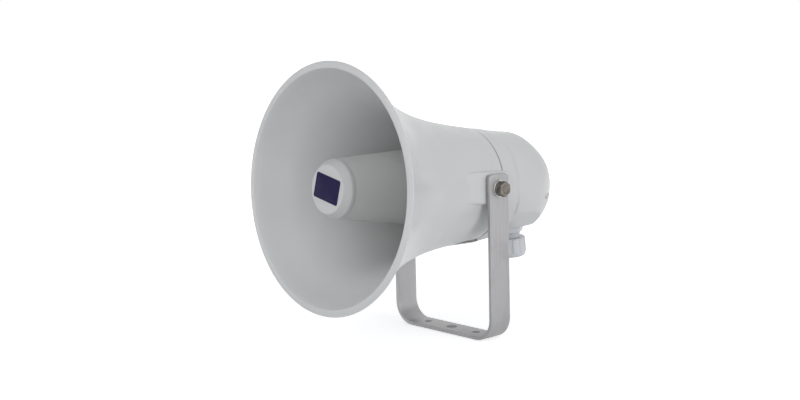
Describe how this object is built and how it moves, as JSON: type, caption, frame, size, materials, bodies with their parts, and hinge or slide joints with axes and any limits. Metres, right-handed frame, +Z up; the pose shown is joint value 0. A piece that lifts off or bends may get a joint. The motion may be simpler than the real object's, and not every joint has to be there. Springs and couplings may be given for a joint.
{
  "type": "pa horn speaker",
  "caption": "Folded PA horn speaker with a round flared bell, closed reflector tube, rounded back cover and cable gland, tilting between the legs of a bent steel U bracket.",
  "frame": {"origin": "centre of the bracket's middle fixing hole at the underside of its base", "axes": "+Z up along the fixing hole, -Y towards the bell's mouth, +X towards the leg at the picture's right"},
  "size_m": [0.2446, 0.2965, 0.2887],
  "materials": {
    "grey_abs": "satin gloss moulded ABS",
    "reflector_abs": "satin moulded ABS",
    "navy_plate": "smooth navy plate",
    "bracket_steel": "dull rolled stainless strip",
    "bolt_steel": "turned steel",
    "plated_steel": "zinc plated",
    "core_steel": "laminated sheet",
    "ferrite": "ground ferrite",
    "brass": "turned brass",
    "copper": "lacquered copper wire",
    "dome_alloy": "thin pressed sheet",
    "black_plastic": "moulded",
    "black_rubber": "matte",
    "gland_nylon": "satin nylon",
    "winding_tape": "wrapped tape",
    "terminal_white": "moulded",
    "wire_red": "insulated wire",
    "wire_black": "insulated wire"
  },
  "bodies": {
    "bracket": {"u_bracket": "bracket_steel"},
    "horn": {"pivot_bolts": "bolt_steel", "flat_washers": "bolt_steel", "spring_washers": "bolt_steel", "spacer_washers": "black_plastic", "pivot_inserts": "brass", "bell": "grey_abs", "cover_seal": "black_rubber", "rear_cover": "grey_abs", "cover_screws": "plated_steel", "throat_tube": "reflector_abs", "reflector": "reflector_abs", "reflector_cap": "grey_abs", "badge_plate": "navy_plate", "driver_housing": "black_plastic", "phase_plug": "black_plastic", "surround": "black_rubber", "clamp_ring": "black_plastic", "top_plate": "plated_steel", "magnet": "ferrite", "pole_yoke": "plated_steel", "driver_screws": "plated_steel", "solder_tags": "brass", "chassis_plate": "plated_steel", "chassis_screws": "plated_steel", "transformer_core": "core_steel", "transformer_bobbin": "black_plastic", "transformer_winding": "winding_tape", "transformer_strap": "plated_steel", "foot_screws": "plated_steel", "terminal_block": "terminal_white", "terminal_clamps": "brass", "line_wires": "wire_red", "driver_wires": "wire_black", "gland_gasket": "black_rubber", "gland_body": "gland_nylon", "gland_seal": "black_rubber", "gland_locknut": "gland_nylon"},
    "driver_dome": {"diaphragm": "dome_alloy", "voice_coil": "copper"},
    "gland_cap": {"gland_nut": "gland_nylon"}
  },
  "joints": [
    {"name": "horn_tilt", "type": "hinge", "parent": "bracket", "child": "horn", "pos_m": [0, 0, 0.156], "axis": [-1, 0, 0], "range_deg": [-49, 221]},
    {"name": "dome_travel", "type": "slide", "parent": "horn", "child": "driver_dome", "axis": [0, -0.9966, 0.0819], "range_m": [-0.0004, 0.0004], "stiffness_N_per_m": 4000},
    {"name": "gland_turn", "type": "hinge", "parent": "horn", "child": "gland_cap", "pos_m": [0, 0.09067, 0.08493], "axis": [0, 0.075, -0.9972], "range_deg": [-90, 720]}
  ]
}
